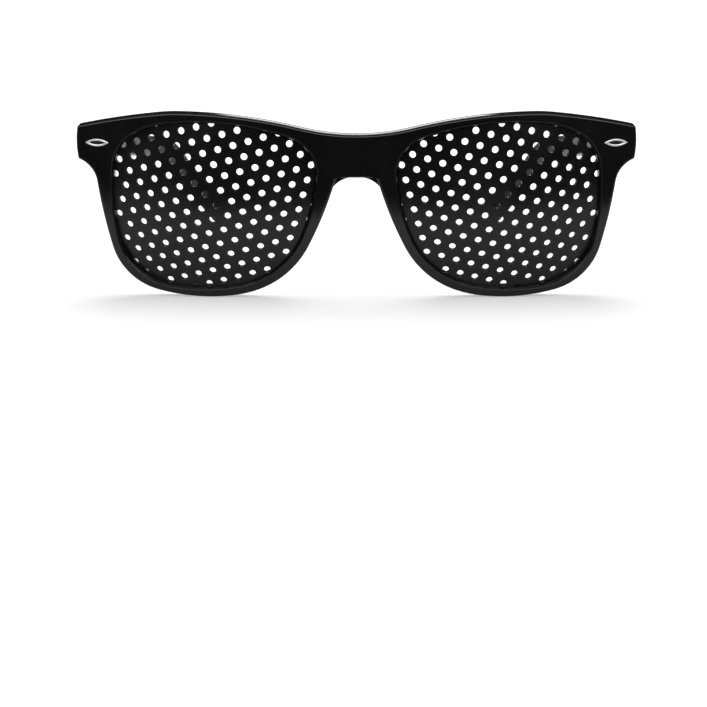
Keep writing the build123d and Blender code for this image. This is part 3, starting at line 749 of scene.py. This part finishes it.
# The table is white to the camera: little is added near the glasses, whose shadow it keeps, and more
# far away, where the lamps don't reach. Reflections see it dimly, and the wall dimmer than the table.
seen_by = nodes.new("ShaderNodeLightPath")
apart = nodes.new("ShaderNodeSeparateXYZ")
links.new(place_node.outputs["Object"], apart.inputs[0])
away = nodes.new("ShaderNodeVectorMath")
away.operation = "LENGTH"
links.new(place_node.outputs["Object"], away.inputs[0])
lift = ramp(away.outputs["Value"], low=0.08, high=0.26, at_low=0.45, at_high=1.0)
through = node_math("MAXIMUM", seen_by.outputs["Is Camera Ray"], seen_by.outputs["Is Transmission Ray"])
behind = ramp(apart.outputs["Y"], low=-0.05, high=0.2, at_low=0.15, at_high=0.1)
mirrored_light = node_math("MULTIPLY", seen_by.outputs["Is Glossy Ray"], behind)
seen = node_math("MULTIPLY", through, lift)
links.new(node_math("ADD", seen, mirrored_light), surface.inputs["Emission Strength"])
cove.data.materials.append(white)


def reflection_card(name, profile, half_length, paint):
    """A card of one colour that is seen by reflections only."""
    card = studio_sheet(name, profile, half_length)
    card.data.materials.append(paint)
    card.visible_camera = card.visible_diffuse = card.visible_transmission = card.visible_shadow = False


card_black, nodes, links, place_node, surface = shader("card_black")
surface.inputs["Base Color"].default_value = (0.01, 0.01, 0.01, 1)
surface.inputs["Roughness"].default_value = 1
card_white, nodes, links, place_node, surface = shader("card_white")
surface.inputs["Base Color"].default_value = (0.8, 0.8, 0.8, 1)
surface.inputs["Emission Color"].default_value = (1, 1, 1, 1)
surface.inputs["Emission Strength"].default_value = 3.0
# The first card lies on the table and stands up behind the camera. The second stands behind the narrow
# lamp, and the third hangs high in front, where the bright metal mirrors it.
long_half, short_half = 1.5, 0.6
reflection_card("black_card", [(-0.12, 0.001), (-1.0, 0.001), (-1.0, 1.2)], long_half, card_black)
reflection_card("black_card_behind", [(1.5, 0.22), (1.5, 1.4)], long_half, card_black)
reflection_card("white_card_in_front", [(-0.75, 0.36), (-0.45, 0.75)], short_half, card_white)

# The air is white to the camera, lights everything a little and is dim in reflections
air_light, air_in_reflections = 0.25, 0.15
world = bpy.data.worlds.new("studio_air")
bpy.context.scene.world = world
world.use_nodes = True
nodes, links = world.node_tree.nodes, world.node_tree.links
seen_by = nodes.new("ShaderNodeLightPath")
through = node_math("MAXIMUM", seen_by.outputs["Is Camera Ray"], seen_by.outputs["Is Transmission Ray"])
mirrored_light = node_math("MULTIPLY", seen_by.outputs["Is Glossy Ray"], air_in_reflections)
nodes["Background"].inputs["Color"].default_value = (1, 1, 1, 1)
seen = node_math("MAXIMUM", through, mirrored_light)
dim = node_math("MULTIPLY", node_math("SUBTRACT", 1.0, seen_by.outputs["Is Glossy Ray"]), air_light)
links.new(node_math("MAXIMUM", seen, dim), nodes["Background"].inputs["Strength"])


def soft_lamp(name, spot, aim, size, power):
    """A square area lamp at a spot, turned to shine at a point. Only its light is seen, not the lamp."""
    lamp = bpy.data.lights.new(name, "AREA")
    lamp.size = size
    lamp.energy = power
    holder = bpy.data.objects.new(name, lamp)
    holder.location = spot
    holder.rotation_euler = (Vector(aim) - Vector(spot)).to_track_quat("-Z", "Y").to_euler()
    holder.visible_camera = False
    bpy.context.scene.collection.objects.link(holder)
    return holder


overhead = soft_lamp("lamp_over", spot=(0.0, 0.04, 0.26), aim=(0, -0.02, 0.0), size=0.26, power=0.55)
overhead.visible_glossy = False
soft_lamp("lamp_behind", spot=(0.0, 1.3, 0.5), aim=(0, -0.06, 0.04), size=0.25, power=0.5)
soft_lamp("lamp_left", spot=(0.7, -0.2, 0.5), aim=(0, 0, 0.02), size=0.4, power=1.0)
soft_lamp("lamp_right", spot=(-0.7, -0.2, 0.45), aim=(0, 0, 0.02), size=0.4, power=0.8)

# The camera stands in front of the bridge, looks slightly down, and has the photograph's framing
camera_back, camera_up, camera_pitch, focal_length, framing_shift = 0.34977, 0.07458, 14.41, 67.84, -0.0042
camera = bpy.data.cameras.new("photo_camera")
camera.sensor_width = 36
camera.lens = focal_length
camera.shift_x = framing_shift
camera.clip_start = 0.01
viewer = bpy.data.objects.new("photo_camera", camera)
viewer.location = foot + np.array([0, -camera_back, camera_up])
viewer.rotation_euler = (np.radians(90 - camera_pitch), 0, 0)
bpy.context.scene.collection.objects.link(viewer)
bpy.context.scene.camera = viewer
bpy.context.scene.view_settings.view_transform = "Standard"
